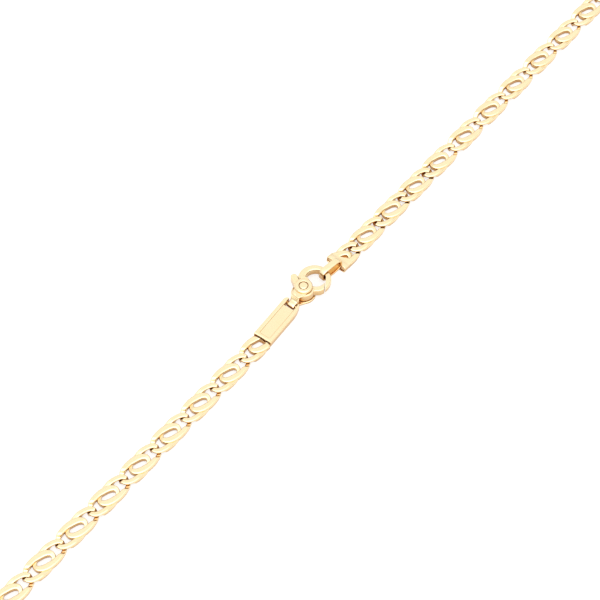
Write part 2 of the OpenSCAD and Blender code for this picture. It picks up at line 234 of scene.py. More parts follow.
def polished_gold(name, haze_low, haze_high, hairline_depth, recess_width, recess_limit, painted_wall_shade):
    """Metal whose roughness goes from haze_low to haze_high with a fine noise, plus hairlines in two directions.
    Its colour eases from painted_wall_shade, a painted shade on steep walls, to unshaded_gold as the normal's z goes
    from 0 to
    WALL_LIMIT, mixes to PAINTED_GOLD_REFLECTION, a painted reflection of facing gold, by the attribute
    painted_reflection_mask, and eases to PAINTED_RECESS_SHADE, a painted brown shade, as the openness within
    recess_width millimetres falls from recess_limit to RECESS_DEEP. A relief of 1 stands for hairline_depth
    millimetres."""
    material = bpy.data.materials.new(name)
    material.use_nodes = True
    tree = material.node_tree
    shader = tree.nodes["Principled BSDF"]
    start = Signal(tree, None)
    place = start.node("ShaderNodeTexCoord", output="Object")
    tone = start.node("ShaderNodeTexNoise", output=0, Vector=place, Scale=TONE_SCALE, Detail=2.0, Roughness=0.5)
    haze = start.node("ShaderNodeTexNoise", output=0, Vector=place, Scale=HAZE_SCALE, Detail=3.0, Roughness=0.6)
    hairlines = None
    for turn in HAIRLINE_TURNS:
        lane = start.node("ShaderNodeMapping", Vector=place, Rotation=(0.0, 0.0, turn), Scale=HAIRLINE_SCALE)
        noise = start.node("ShaderNodeTexNoise", output=0, Vector=lane, Scale=1.0, Detail=1.0, Roughness=0.5)
        line = noise ** HAIRLINE_SHARPNESS
        hairlines = line if hairlines is None else hairlines + line
    unshaded_gold = start.node("ShaderNodeMix", {"data_type": "RGBA"}, output=2, _0=tone, _6=GOLD_PALE, _7=GOLD_WARM)
    facing = start.node("ShaderNodeTexCoord", output="Normal")
    upright = start.node("ShaderNodeSeparateXYZ", output="Z", Vector=facing)
    # Painted shade: faces steeper than WALL_LIMIT ease to the darker wall tan
    clear_of_wall_shade = start.node("ShaderNodeMapRange", {"interpolation_type": "SMOOTHSTEP"}, Value=upright,
                          From_Min=0.0, From_Max=WALL_LIMIT, To_Min=0.0, To_Max=1.0)
    toned = start.node("ShaderNodeMix", {"data_type": "RGBA"}, output=2, _0=clear_of_wall_shade, _6=painted_wall_shade, _7=unshaded_gold)
    # Painted reflection: marked points take an orange for the gold they face
    painted_reflection_mask = start.node("ShaderNodeAttribute", {"attribute_name": "painted_reflection_mask"}, output="Fac")
    toned = start.node("ShaderNodeMix", {"data_type": "RGBA"}, output=2, _0=painted_reflection_mask, _6=toned, _7=PAINTED_GOLD_REFLECTION)
    # Painted shade: the colour darkens to brown where ambient occlusion finds a recess
    openness = start.node("ShaderNodeAmbientOcclusion", {"samples": 8}, output="AO", Distance=recess_width * MM)
    recess = start.node("ShaderNodeMapRange", {"interpolation_type": "SMOOTHSTEP"}, Value=openness,
                        From_Min=RECESS_DEEP, From_Max=recess_limit, To_Min=0.0, To_Max=1.0)
    colour = start.node("ShaderNodeMix", {"data_type": "RGBA"}, output=2, _0=recess, _6=PAINTED_RECESS_SHADE, _7=toned)
    roughness = haze_low + haze * (haze_high - haze_low) + HAIRLINE_DULL * hairlines
    bump = start.node("ShaderNodeBump", Strength=1.0, Distance=hairline_depth * MM,
                      Height=haze * HAZE_RELIEF + tone * TONE_RELIEF + hairlines * HAIRLINE_RELIEF)
    tree.links.new(colour.socket, shader.inputs["Base Color"])
    tree.links.new(roughness.socket, shader.inputs["Roughness"])
    tree.links.new(bump.socket, shader.inputs["Normal"])
    shader.inputs["Metallic"].default_value = 1.0
    return material


chain_gold = polished_gold("chain_gold", haze_low=0.10, haze_high=0.26, hairline_depth=0.004,
                           recess_width=2.1, recess_limit=0.76, painted_wall_shade=CHAIN_WALL_SHADE)
fitting_gold = polished_gold("fitting_gold", haze_low=0.08, haze_high=0.24, hairline_depth=0.004,
                             recess_width=2.8, recess_limit=0.88, painted_wall_shade=FITTING_WALL_SHADE)
print("finishes:", chain_gold.name, fitting_gold.name)

# %% [markdown]
# ## Heights along a strand
# A link is pressed flat, filed and polished, so each strand is a bar with a level top and rounded shoulders.
# Where it crosses the next link it is half as thick: it dives under it on the near side and passes over it
# on the far side. We work out the height of its top and bottom as functions of the place, from eased steps.
# Carving the dips with Booleans would leave hard creases that a polished link doesn't have.

# %% Strand heights
LINK_LENGTH = 9.96
CHAIN_WIDTH = 4.22
CHAIN_THICK = 1.15
OVAL_LENGTH = 7.3
STRAND_END, WIDEST_END = 0.8, 1.02
STRAND_INNER = 0.95
STRAND_SIDE = 1.03
HOLE_TURN = 5.0
HOLE_SIDE = 0.08
STRAND_GAP = 0.12
CROSSING_TURN, UNDER_TURN = math.radians(41), math.radians(51)
UNDER_DROP, BAND_DROP, BAND_RUN = 0.14, 0.34, 0.95
# Start and end of each eased step, in millimetres from the link's middle
DIVE_ACROSS, DIVE_NEAR = (1.08, 1.64), (-0.38, -0.05)
UNDER_INNER, UNDER_FAR, BAND_ALONG = (2.05, 2.25), (0.75, 1.05), (0.8, 2.3)
OVER_ACROSS, OVER_FAR = (1.05, 1.62), (-0.25, 0.1)


def ease(value, low, high):
    """0 below low, 1 above high, and 3t^2 - 2t^3 in between, which starts and ends level."""
    t = np.clip((value - low) / (high - low), 0, 1)
    return t * t * (3 - 2 * t)


def strand_top(x, y):
    """Top of the right oval: full height, less the deepest of three dips. It dives under the next link on the near
    side, lies a step under its own link's other oval on the far side, and its band across the link's middle
    slopes down towards that step. Places are measured along lines turned by CROSSING_TURN and UNDER_TURN."""
    half = (CHAIN_THICK - STRAND_GAP) / 2
    across = x * math.cos(CROSSING_TURN) + y * math.sin(CROSSING_TURN)
    dive = (CHAIN_THICK - half) * ease(across, *DIVE_ACROSS) * (1 - ease(y, *DIVE_NEAR))
    inner = x * math.cos(UNDER_TURN) + y * math.sin(UNDER_TURN)
    under = UNDER_DROP * (1 - ease(inner, *UNDER_INNER)) * ease(y, *UNDER_FAR)
    band = BAND_DROP * np.clip(y / BAND_RUN, 0, 1) * (1 - ease(x, *BAND_ALONG))
    return CHAIN_THICK - np.maximum(np.maximum(dive, under), band)


def strand_bottom(x, y):
    """Bottom of the right oval: the table, and just over half the thickness where it passes over the next link."""
    high = (CHAIN_THICK + STRAND_GAP) / 2
    across = x * math.cos(CROSSING_TURN) - y * math.sin(CROSSING_TURN)
    return high * ease(across, *OVER_ACROSS) * ease(y, *OVER_FAR)


print("the strand's top lies", round(float(strand_top(4.6, -1.0)), 3), "mm up where it dives, and its bottom",
      round(float(strand_bottom(4.6, 1.0)), 3), "mm up where it passes over")

# %% [markdown]
# ## One oval of a link
# On the real chain an oval is one piece of wire, bent round, soldered and pressed. We carry a bar's section round
# it: its sides run from the hole's outline to the outer outline, and its top and bottom follow the heights above.
# Both outlines are ovals, but the hole is turned a little and lies off the middle, so the bar's width changes
# on its way round. A curve with a bevel would keep one width all the way.

# %% Section and outlines of an oval
UPPER_EDGE, LOWER_EDGE = 0.27, 0.42
FLAT_START = 1.3  # where a flat face gets its last row, in radii from the corner


def soft_square(count, power):
    """A square with rounded shoulders: cosine and sine of even angles, each to the power, with its sign kept."""
    angle = 2 * np.pi * (np.arange(count) + 0.5) / count
    c, s = np.cos(angle), np.sin(angle)
    return np.sign(c) * np.abs(c) ** power, np.sign(s) * np.abs(s) ** power


def filed_bar():
    """Corners of a bar's section in turn: its side and level (+1 or -1), and how far each point lies in and down
    from that corner, as 1 less the cosine and 1 less the sine, in radii. The upper corners have more points."""
    rows = []
    for side, level in ((1, 1), (-1, 1), (-1, -1), (1, -1)):
        angle = np.radians(np.linspace(0, 90, 4 if level > 0 else 3))
        cuts = [*zip(1 - np.cos(angle), 1 - np.sin(angle)), (FLAT_START, 0.0)]
        cuts = ([(0.0, FLAT_START)] if level > 0 else []) + cuts
        rows += [(side, level, *cut) for cut in (cuts if side == level else cuts[::-1])]
    return np.array(rows).T


def oval(half_length, half_width, count, power=0.96, closer=0.0):
    """Points of an oval: its half length times the cosine and half width times the sine, to a power near 1.
    The angle plus a part of sin(3 angle) brings the points closer together where the strands cross."""
    even = 2 * np.pi * np.arange(count) / count
    angle = even + closer / 3 * np.sin(3 * even)
    c, s = np.cos(angle), np.sin(angle)
    return np.stack([half_length * np.sign(c) * np.abs(c) ** power,
                     half_width * np.sign(s) * np.abs(s) ** power], -1)


def turned(points, degrees):
    """Points turned about z: x cos - y sin, x sin + y cos."""
    c, s = math.cos(math.radians(degrees)), math.sin(math.radians(degrees))
    moved = np.array(points, float)
    moved[..., 0], moved[..., 1] = points[..., 0] * c - points[..., 1] * s, points[..., 0] * s + points[..., 1] * c
    return moved


CLOSER, HOLE_PINCH = 0.25, 0.12
MOST_OF_WIDTH, MOST_OF_HEIGHT = 0.45, 0.4


def oval_strand(strand_end=STRAND_END, along=64):
    """Grid of the right oval: from its middle line out by half the strand's width, and from its bottom or top,
    less the cuts of the section's corner. A radius stays under MOST_OF_WIDTH of half the width and
    MOST_OF_HEIGHT of the height."""
    outer = oval(OVAL_LENGTH / 2, CHAIN_WIDTH / 2, along, closer=CLOSER)
    inner = oval(1, CHAIN_WIDTH / 2 - STRAND_SIDE, along, closer=CLOSER)
    inner[:, 1] *= 1 - HOLE_PINCH * ease(-inner[:, 0], 0, 0.5)
    inner[:, 0] *= np.where(inner[:, 0] > 0, OVAL_LENGTH / 2 - strand_end, OVAL_LENGTH / 2 - STRAND_INNER)
    inner = turned(inner, -HOLE_TURN) + [0, HOLE_SIDE]
    side, level, cut_in, cut_down = filed_bar()
    radius = np.where(level > 0, UPPER_EDGE, LOWER_EDGE)
    half = np.hypot(*((outer - inner) / 2).T)[:, None]
    out = (side * (half - np.minimum(radius, MOST_OF_WIDTH * half) * cut_in))[..., None]
    plan = (outer + inner)[:, None] / 2 + out * ((outer - inner) / 2 / half)[:, None]
    x = plan[..., 0] + (LINK_LENGTH - OVAL_LENGTH) / 2
    y = plan[..., 1]
    low, high = strand_bottom(x, y), strand_top(x, y)
    down = np.minimum(radius, MOST_OF_HEIGHT * (high - low)) * cut_down
    return np.stack([x, y, np.where(level > 0, high - down, low + down)], -1)


def link_ovals(right_end, left_end):
    """Both ovals of a link with their strand widths at its ends. The left one is a right one turned half round."""
    return oval_strand(right_end), oval_strand(left_end) * [-1, -1, 1]


print("one oval has", len(oval_strand()), "sections of", oval_strand().shape[1], "points")

# %% [markdown]
# ## The run of links
# On a table the chain makes a flat loop: straight at the clasp, two tight corners, and one wide arc behind.
# Each link's place follows from the last one by half a pitch along each heading, as the solids do it.
# The corner's turn is found by halving an interval until the loop closes.
# The alternative, an Array modifier on a curve, would bend the metal of each link.

# %% Headings and places of the links
CLOSE_N, TIGHT_N, HIDDEN_N, TAG_N, CORNER_BENDS = 4, 7, 50, 8, 10
CLOSE_PITCH, TIGHT_PITCH, LINK_PITCH, TAG_PITCH = 7.75, 8.55, 8.2, 8.25
CAP_LINK_X, TAG_LINK_X = 11.75, -12.95
STRAIGHT_N = CLOSE_N + TIGHT_N
LINKS_N = STRAIGHT_N + HIDDEN_N + TAG_N
CAP_SIDE_N = STRAIGHT_N + HIDDEN_N // 2


def turn_after(bends, corner):
    """Degrees turned after some bends: the corner's share in each corner, an even share round the back."""
    back_n = HIDDEN_N + 1 - 2 * CORNER_BENDS
    back = (360 - 2 * CORNER_BENDS * corner) / back_n
    return (np.minimum(bends, CORNER_BENDS) * corner + np.clip(bends - CORNER_BENDS, 0, back_n) * back
            + np.maximum(bends - CORNER_BENDS - back_n, 0) * corner)


CORNER_LEAST, CORNER_MOST, HALVINGS = 10.0, 18.0, 30


def closing_corner():
    """Halves the interval from CORNER_LEAST to CORNER_MOST degrees until the hidden links reach from one straight
    run to the other."""
    start = CAP_LINK_X + CLOSE_N * CLOSE_PITCH + TIGHT_N * TIGHT_PITCH + LINK_PITCH / 2
    end = TAG_LINK_X - TAG_N * TAG_PITCH - LINK_PITCH / 2
    low, high = CORNER_LEAST, CORNER_MOST
    for _ in range(HALVINGS):
        middle = (low + high) / 2
        turned_by = turn_after(np.arange(1, HIDDEN_N + 1), middle)
        width = np.sum(LINK_PITCH * np.cos(np.radians(turned_by)))
        low, high = (middle, high) if width > end - start else (low, middle)
    return (low + high) / 2


number = np.arange(LINKS_N + 2)
heading = -turn_after(np.clip(number - STRAIGHT_N, 0, HIDDEN_N + 1), closing_corner())
pitch = np.select([number < CLOSE_N, number < STRAIGHT_N, number <= STRAIGHT_N + HIDDEN_N],
                  [CLOSE_PITCH, TIGHT_PITCH, LINK_PITCH], TAG_PITCH)
way = np.stack([np.cos(np.radians(heading)), np.sin(np.radians(heading))], -1)
steps = pitch[:-1, None] / 2 * (way[:-1] + way[1:])
places = np.vstack([[CAP_LINK_X, 0.0], [CAP_LINK_X, 0.0] + np.cumsum(steps, 0)])
print("the last link comes out at", places[LINKS_N + 1].round(3), "and the tag's half link is at", TAG_LINK_X)


# %% [markdown]
# ## The links
# In a real chain the end strands of neighbouring links lie side by side in each other's holes and touch.
# So each strand takes the room that there is at its end: more where the links are pushed together, and less
# where they are pulled tight. Instances of one mesh would be lighter, but would all have the same ends.

# %% Links as one mesh
END_GAP = 0.13


def links(numbers):
    """Both ovals of each link, turned by its heading and moved to its place, as one list of skins. The strand at
    each end takes half of the length that two neighbours share, less END_GAP, up to WIDEST_END."""
    widths = np.minimum((LINK_LENGTH - pitch - END_GAP) / 2, WIDEST_END)
    skins = []
    for k in numbers:
        for strand in link_ovals(widths[k], widths[k - 1]):
            skins.append(skin(turned(strand, heading[k]) + [*places[k], 0.0], ring_path=True))
    return skins


make_piece("chain_links_cap_side", links(range(1, CAP_SIDE_N + 1)), chain_gold, "necklace",
           ["chain_cap_side"])
make_piece("chain_links_tag_side", links(range(CAP_SIDE_N + 1, LINKS_N + 1)), chain_gold, "necklace",
           ["chain_tag_side"])


# %% [markdown]
# ## Half links
# The tag and the cap end in half a link that is soldered to them. The other half would stick through
# their walls, so beyond the solder line it is pressed to a thin layer that hides inside the metal.
# Cutting the mesh at the line would do too, but leaves an open rim that has to be closed.

# %% Half link
PRESS, NARROW, NARROW_OVER = 0.98, 0.25, 0.3


def half_link(x, line, side, lean=0.0, strand_end=STRAND_END):
    """Both ovals of a link at x. Beyond the line (to the side, +1 or -1) the distance shrinks by PRESS, and y
    by NARROW, eased in over NARROW_OVER. The line may lean by some degrees: it moves by y times the tangent."""
    skins = []
    for strand in link_ovals(strand_end, strand_end):
        points = strand + [x, 0.0, 0.0]
        edge = line - points[..., 1] * math.tan(math.radians(lean))
        beyond = np.maximum(side * (points[..., 0] - edge), 0)
        points[..., 0] -= side * beyond * PRESS
        points[..., 1] *= 1 - NARROW * ease(beyond, 0.0, NARROW_OVER)
        skins.append(skin(points, ring_path=True))
    return skins


# %% [markdown]
# ## Flat pieces with softened edges
# The tag, the lever and the cap's back plate are flat pieces whose edges are broken on the wheel.
# Such a piece is its outline carried up a small profile: in by the edge radius at the bottom, out, up, and in again.
# The outline's inward direction is blurred a little, which keeps the rows from crossing in sharp corners.

# %% Outlines
LEAST_BLUR, LEVEL_ROW = 0.16, 1.35


def blurred(rows, width):
    """Each row of a closed loop averaged with its neighbours by a bell curve, width rows wide."""
    frequency = np.fft.fftfreq(len(rows))
    bell = np.exp(-2 * (np.pi * width * frequency) ** 2)
    return np.fft.ifft(np.fft.fft(rows, axis=0) * bell[:, None], axis=0).real


def arc(centre, radius, start, end, count=24):
    """Points of an arc: centre plus radius times cosine and sine of even angles from start to end, in degrees."""
    angle = np.radians(np.linspace(start, end, count))
    return np.asarray(centre) + radius * np.stack([np.cos(angle), np.sin(angle)], -1)


def even_outline(corners, step=0.07, rounding=0.07):
    """Walks a closed outline in even steps and blurs it by the rounding, anticlockwise."""
    loop = np.vstack([corners, corners[:1]])
    length = np.concatenate([[0], np.cumsum(np.hypot(*np.diff(loop, axis=0).T))])
    count = int(length[-1] / step)
    even = np.arange(count) * length[-1] / count
    points = np.stack([np.interp(even, length, loop[:, axis]) for axis in (0, 1)], -1)
    area = np.sum(points[:, 0] * np.roll(points[:, 1], -1) - points[:, 1] * np.roll(points[:, 0], -1))
    return blurred(points if area > 0 else points[::-1], rounding / step)


def plate(corners, bottom, top, edge=0.12, step=0.07, rounding=0.07, thin=None):
    """A flat piece: rows of its outline, moved in by edge (1 - sin a) and up by edge (1 - cos a), then mirrored
    for the upper edge, with one more level row inside each face. Where the piece gets thin, a function of x
    makes the inward move smaller."""
    outline = even_outline(corners, step, rounding)
    ahead = np.roll(outline, -1, 0) - np.roll(outline, 1, 0)
    ahead /= np.hypot(*ahead.T)[:, None]
    inward = blurred(np.stack([-ahead[:, 1], ahead[:, 0]], -1), max(LEAST_BLUR, 1.1 * edge) / step)
    if thin is not None:
        inward *= thin(outline[:, 0])[:, None]
    angle = np.linspace(0, np.pi / 2, 5)
    inset = np.concatenate([[edge * LEVEL_ROW], edge * (1 - np.sin(angle))])
    rise = np.concatenate([[0], edge * (1 - np.cos(angle))])
    inset, height = np.concatenate([inset, inset[::-1]]), np.concatenate([bottom + rise, (top - rise)[::-1]])
    rings = np.concatenate([outline[None] + inward[None] * inset[:, None, None],
                            np.broadcast_to(height[:, None, None], (len(height), len(outline), 1))], -1)
    return skin(rings)


def thinner_towards(tip, over, least):
    """How much of an edge's inward move is left at x: (tip - x) / over, between least and 1."""
    return lambda x: np.clip((tip - x) / over, least, 1)


# %% [markdown]
# ## The tag
# The tag is a shallow tray: a panel with a raised rail round three sides, open towards the clasp,
# where its rails run on as two ears that hold a cross pin. On the real one the rail is turned up from the sheet.
# We make the rail as one U-shaped flat piece and lay the panel in it a little lower. Two short bars of solder
# join half a link to its other end. A block with a pocket cut by a Boolean would have no soft inner edges.

# %% Tag
TAG_LENGTH, TAG_WIDTH, TAG_THICK, RAIL_WIDTH = 10.2, 3.85, 1.5, 0.8
PANEL_DROP, SLOT_LENGTH, SLOT_WIDTH = 0.18, 1.75, 2.2
SEAM = 0.14
TAG_PLACE = np.array([-11.8, 0.08, 0.0])
TAG_TURN = 3.8
half_tag, half_slot = TAG_WIDTH / 2, SLOT_WIDTH / 2
rail = np.vstack([[[0, -half_tag], [0, half_tag]],
                  arc([TAG_LENGTH - 0.8, half_tag - 0.8], 0.8, 90, 0, 16),
                  [[TAG_LENGTH, half_slot], [RAIL_WIDTH, half_slot]],
                  [[RAIL_WIDTH, -half_slot], [TAG_LENGTH, -half_slot]],
                  [[TAG_LENGTH, -1.2], [TAG_LENGTH - 0.6, -1.5], [TAG_LENGTH - 1.5, -1.775],
                   [TAG_LENGTH - 2.5, -half_tag]]])
panel = np.array([[0.3, -1.4], [TAG_LENGTH - SLOT_LENGTH, -1.4], [TAG_LENGTH - SLOT_LENGTH, 1.4], [0.3, 1.4]])


def round_bar(start, end, radius, count=32):
    """A round bar with broken ends: circles about the line from start to end, smaller at the two ends."""
    start, end = np.asarray(start, float), np.asarray(end, float)
    axis = (end - start) / np.linalg.norm(end - start)
    side = np.cross(axis, [0.0, 0.0, 1.0] if abs(axis[2]) < 0.9 else [1.0, 0.0, 0.0])
    side /= np.linalg.norm(side)
    other = np.cross(axis, side)
    angle = 2 * np.pi * np.arange(count) / count
    circle = np.cos(angle)[:, None] * side + np.sin(angle)[:, None] * other
    along = np.array([0.0, 0.0, 0.02, 0.06])
    size = np.array([0.6, 0.85, 0.96, 1.0]) * radius
    rings = [start + axis * a + circle * r for a, r in zip(along, size)]
    rings += [end - axis * a + circle * r for a, r in zip(along[::-1], size[::-1])]
    return skin(np.array(rings))


def put(skins, place, degrees=0.0):
    """The same skins, turned about z and moved to their place."""
    return [(turned(points, degrees) + place, faces) for points, faces in skins]


tag = put([plate(rail, 0.0, TAG_THICK, 0.24, thin=thinner_towards(TAG_LENGTH + 0.1, over=1.8, least=0.2)),
           plate(panel, 0.06, TAG_THICK - PANEL_DROP, 0.05),
           round_bar([9.55, -1.4, 0.8], [9.55, 1.4, 0.8], 0.3)], TAG_PLACE, TAG_TURN)
tag += half_link(TAG_LINK_X, TAG_PLACE[0] - SEAM - 0.1, 1, TAG_TURN)
tag += [round_bar([TAG_PLACE[0] - 0.6, y, 0.5], [TAG_PLACE[0] + 0.4, y, 0.5], 0.28) for y in (-1.5, 1.5)]
make_piece("tag", tag, fitting_gold, "necklace", ["end_tag"])

# %% [markdown]
# ## The clasp's cheeks
# The clasp's body is cast in one: two round cheeks that hold the rivet, a hook, and a tail that slopes down to
# the tag's pin. The cheeks are turned forms, a profile of radius and height carried round the rivet's axis.
# A Screw modifier on the same profile would do that too, but here it stays beside the clasp's measures.

# %% Cheeks
RIVET_PLACE = np.array([1.42, 0.95, 0.0])
CLASP_THICK, CHEEK_THICK, FOOT_Z = 3.0, 0.55, 0.05
CHEEK_R, FOOT_R, RIVET_HEAD_R, RIVET_R = 1.7, 2.35, 0.87, 0.5


def turned_piece(profile, ring=True, count=72):
    """A turned form: each profile point (r, z) goes round the axis as r cos a, r sin a, z."""
    profile = np.asarray(profile, float)
    angle = 2 * np.pi * np.arange(count) / count
    rings = np.stack([profile[:, :1] * np.cos(angle), profile[:, :1] * np.sin(angle),
                      np.broadcast_to(profile[:, 1:], (len(profile), count))], -1)
    return skin(rings, ring_path=ring)


def corner(centre, radius, start, end, count=5):
    """A rounded corner of a profile, as an arc's points."""
    return arc(centre, radius, start, end, count)


cheek_bottom = CLASP_THICK - CHEEK_THICK
upper_cheek = np.vstack([[[0.52, cheek_bottom], [CHEEK_R - 0.1, cheek_bottom]],
                         corner([CHEEK_R - 0.06, cheek_bottom + 0.06], 0.06, -90, 0, 3),
                         corner([CHEEK_R - 0.34, CLASP_THICK - 0.34], 0.34, 0, 90, 7),
                         [[CHEEK_R - 0.44, CLASP_THICK], [RIVET_HEAD_R + 0.2, CLASP_THICK]],
                         corner([RIVET_HEAD_R + 0.15, CLASP_THICK - 0.11], 0.11, 90, 180),
                         [[RIVET_HEAD_R + 0.04, CLASP_THICK - 0.26], [0.52, CLASP_THICK - 0.26]]])
foot_top = FOOT_Z + CHEEK_THICK
lower_cheek = np.vstack([[[0.52, FOOT_Z + 0.26], [RIVET_HEAD_R + 0.01, FOOT_Z + 0.26],
                          [RIVET_HEAD_R + 0.01, FOOT_Z + 0.08], [RIVET_HEAD_R + 0.08, FOOT_Z]],
                         corner([FOOT_R - 0.15, FOOT_Z + 0.15], 0.15, -90, 0),
                         corner([FOOT_R - 0.15, foot_top - 0.15], 0.15, 0, 90),
                         [[0.52, foot_top]]])

print("the cheeks' profiles have", len(upper_cheek), "and", len(lower_cheek), "points")

# %% [markdown]
# ## The hook
# The hook's outside and its eye are two circles with different middles, so the arm narrows towards its tip.
# A soft square section is carried along between them, from the cheeks to the slit at the gate.
# A curve with a bevel would be quicker, but keeps one width.

# %% Hook
HOOK_R, HOOK_CENTRE = 3.15, np.array([3.0, -0.25])
EYE_R, EYE_CENTRE = 1.93, np.array([3.15, -0.45])
HOOK_LOW, HOOK_HIGH = 0.7, 2.3
HOOK_START, EYE_START = 126, 135  # angles on the two circles at the cheeks
END_SIZE = 0.86  # of the section in its first and last row
SLIT_PLACE, SLIT_TURN, SLIT_GAP = np.array([2.83, -2.9]), 36.0, 0.12


def slit_angle(centre, radius, offset, side):
    """Angle on a circle where the slit's edge, moved across by the offset, crosses it: the edge's line put into
    the circle's equation and solved for its distance along, with the root on the given side."""
    along = np.array([math.cos(math.radians(SLIT_TURN)), math.sin(math.radians(SLIT_TURN))])
    start = SLIT_PLACE + offset * np.array([-along[1], along[0]]) - centre
    half = start @ along
    point = start + along * (-half + side * math.sqrt(half * half - start @ start + radius * radius))
    return math.degrees(math.atan2(point[1], point[0]))


def hook_skin(count=96, around=28):
    """Section from the eye's circle to the outer circle, carried from the cheeks to the slit, both angles falling
    evenly. The section is a soft square, and its last rows draw in a little to break the edge."""
    share = np.concatenate([[0.0], np.linspace(0.0, 1.0, count), [1.0]])
    outer = np.radians(HOOK_START + share * (slit_angle(HOOK_CENTRE, HOOK_R, -SLIT_GAP / 2, -1) - HOOK_START))
    inner = np.radians(EYE_START + share * (slit_angle(EYE_CENTRE, EYE_R, -SLIT_GAP / 2, 1) - EYE_START))
    far = HOOK_CENTRE + HOOK_R * np.stack([np.cos(outer), np.sin(outer)], -1)
    near = EYE_CENTRE + EYE_R * np.stack([np.cos(inner), np.sin(inner)], -1)
    across, up = soft_square(around, 0.46)
    size = np.ones(len(share))
    size[0] = size[-1] = END_SIZE
    plan = (far + near)[:, None] / 2 + (far - near)[:, None] / 2 * across[None, :, None] * size[:, None, None]
    middle, half = (HOOK_LOW + HOOK_HIGH) / 2, (HOOK_HIGH - HOOK_LOW) / 2
    height = middle + half * up[None, :] * size[:, None]
    return skin(np.concatenate([plan, height[..., None]], -1))


print("the hook ends at", round(slit_angle(HOOK_CENTRE, HOOK_R, -SLIT_GAP / 2, -1), 1), "degrees on its outside")

# %% [markdown]
# ## The tail and the whole body
# The tail starts a little below the upper cheek's top, bends down and ends round where it hangs on the tag's pin.
# Its sides, bottom and top are given at seven stations, and a soft square section is carried along them.
# Flat pieces fill the corners as the casting does: the hook's root, the web beside the cheeks, the foot, and
# a thin shelf between the upper cheek and the tail. Modelling the body by hand from a cube would be as good
# by eye, but couldn't be checked against the clasp's measures.

# %% Tail and body
TAIL_NOSE, NOSE_ROUND, NOSE_Z = 0.7, 0.715, 0.8


def tail_skin(around=28):
    """Soft squares across the tail, carried along stations that give its two sides, its bottom and its top, read
    off in a straight line and averaged over five rows. Past the last station the height shrinks about NOSE_Z by
    the root of 1 less the square of the distance over NOSE_ROUND."""
    stations = np.array([  # x, right side, left side, bottom, top
        [-1.30, -0.76, 1.18, 0.15, 2.60], [-1.70, -0.80, 1.20, 0.15, 2.60], [-2.20, -0.85, 1.08, 0.15, 2.57],
        [-2.58, -0.99, 0.90, 0.15, 2.48], [-2.90, -1.03, 0.75, 0.15, 1.80], [-3.12, -1.03, 0.66, 0.15, 1.50],
        [-3.67, -1.03, 0.57, 0.13, 1.45]])
    end = stations[-1, 0]
    nose = end - TAIL_NOSE * np.sin(np.radians(np.arange(8, 89, 8)))
    x = np.concatenate([np.linspace(stations[0, 0], end, 44), nose])
    read = [np.interp(-x, -stations[:, 0], stations[:, column]) for column in range(1, 5)]
    round_end = np.sqrt(np.clip(1 - (np.maximum(end - x, 0) / NOSE_ROUND) ** 2, 0, 1))
    right, left, low, high = (np.convolve(np.pad(values, 2, "edge"), np.ones(5) / 5, "valid") for values in read)
    low, high = NOSE_Z + (low - NOSE_Z) * round_end, NOSE_Z + (high - NOSE_Z) * round_end
    across, up = soft_square(around, 0.5)
    y = (right + left)[:, None] / 2 + (left - right)[:, None] / 2 * across
    z = (low + high)[:, None] / 2 + (high - low)[:, None] / 2 * up
    return skin(np.stack([np.broadcast_to(x[:, None], y.shape), y, z], -1))


root = np.array([[0.75, 1.1], [1.2, 1.9], [1.95, 2.05], [2.05, 0.5], [1.75, -0.1], [1.2, -0.1]])
web = np.array([[0.82, 1.62], [1.06, 2.03], [1.32, 2.49], [1.6, 2.55], [2.3, 2.6], [2.2, 1.2], [1.2, 1.0]])
foot = np.array([[-3.3, -1.03], [-2.5, -1.25], [-1.5, -1.85], [-0.9, -2.05], [-0.6, -1.0], [-1.2, 0.2], [-3.3, 0.4]])
shelf = np.array([[-0.5, -1.5], [-1.2, -1.5], [-1.8, -1.36], [-2.4, -1.1], [-2.75, -0.75], [-2.4, 0.0], [-0.5, 0.0]])
body = [turned_piece(upper_cheek), turned_piece(lower_cheek), hook_skin(), tail_skin(),
        plate(root, 0.35, 2.65, 0.12), plate(web, 0.75, HOOK_HIGH - 0.02, 0.12), plate(foot, 0.15, 0.58, 0.12),
        plate(shelf, bottom=2.44, top=2.6, edge=0.08, rounding=0.2)]
make_piece("clasp_hook", put(body, RIVET_PLACE), fitting_gold, "necklace", ["clasp_body"])

# %% [markdown]
# ## The lever
# The lever turns on the rivet between the cheeks. Seen from above it is one outline: the hub, the thumb tab,
# the gate that closes the hook along the eye's circle, and the lobe on the near side. So it is a flat piece with
# softened edges, which get finer where the gate gets thin. It rides on its own body, so it opens with the joint.

# %% Lever
HUB_R, LOBE_R, TAB_TURN, TAB_LENGTH, TAB_WIDTH, TAB_SIDE = 1.35, 2.15, 60.0, 3.66, 1.25, 0.75
GATE_START, GATE_END = 183.6, 278.5  # angles on the eye's circle
tab_end = TAB_LENGTH - TAB_WIDTH / 2
tab = turned(np.vstack([[[0.0, TAB_SIDE + TAB_WIDTH / 2]], arc([tab_end, TAB_SIDE], TAB_WIDTH / 2, 90, -90, 20),
                        [[1.34, TAB_SIDE - TAB_WIDTH / 2]]]), TAB_TURN)
along_eye = arc(EYE_CENTRE, EYE_R, GATE_START, GATE_END, 54)
lever = np.vstack([tab, arc([0, 0], HUB_R, 65, -24, 30), along_eye,
                   [[2.83, -2.845], [2.2, -3.22], [1.5, -2.98], [1.2, -2.75], [0.75, -2.2], [0.3, -1.9], [0.0, -1.5]],
                   arc([0, 0], HUB_R, 262, 150, 40)])
lobe = np.vstack([arc([0, 0], LOBE_R - 0.03, 300, 196, 44), arc([0, 0], HUB_R - 0.3, 196, 300, 20)])
make_piece("lever", put([plate(lever, HOOK_LOW, HOOK_HIGH, 0.14, thin=thinner_towards(3.4, over=0.8, least=0.12)),
                        plate(lobe, HOOK_LOW + 0.02, HOOK_HIGH + 0.1, 0.14)],
                        RIVET_PLACE), fitting_gold, "lever", ["clasp_lever"])

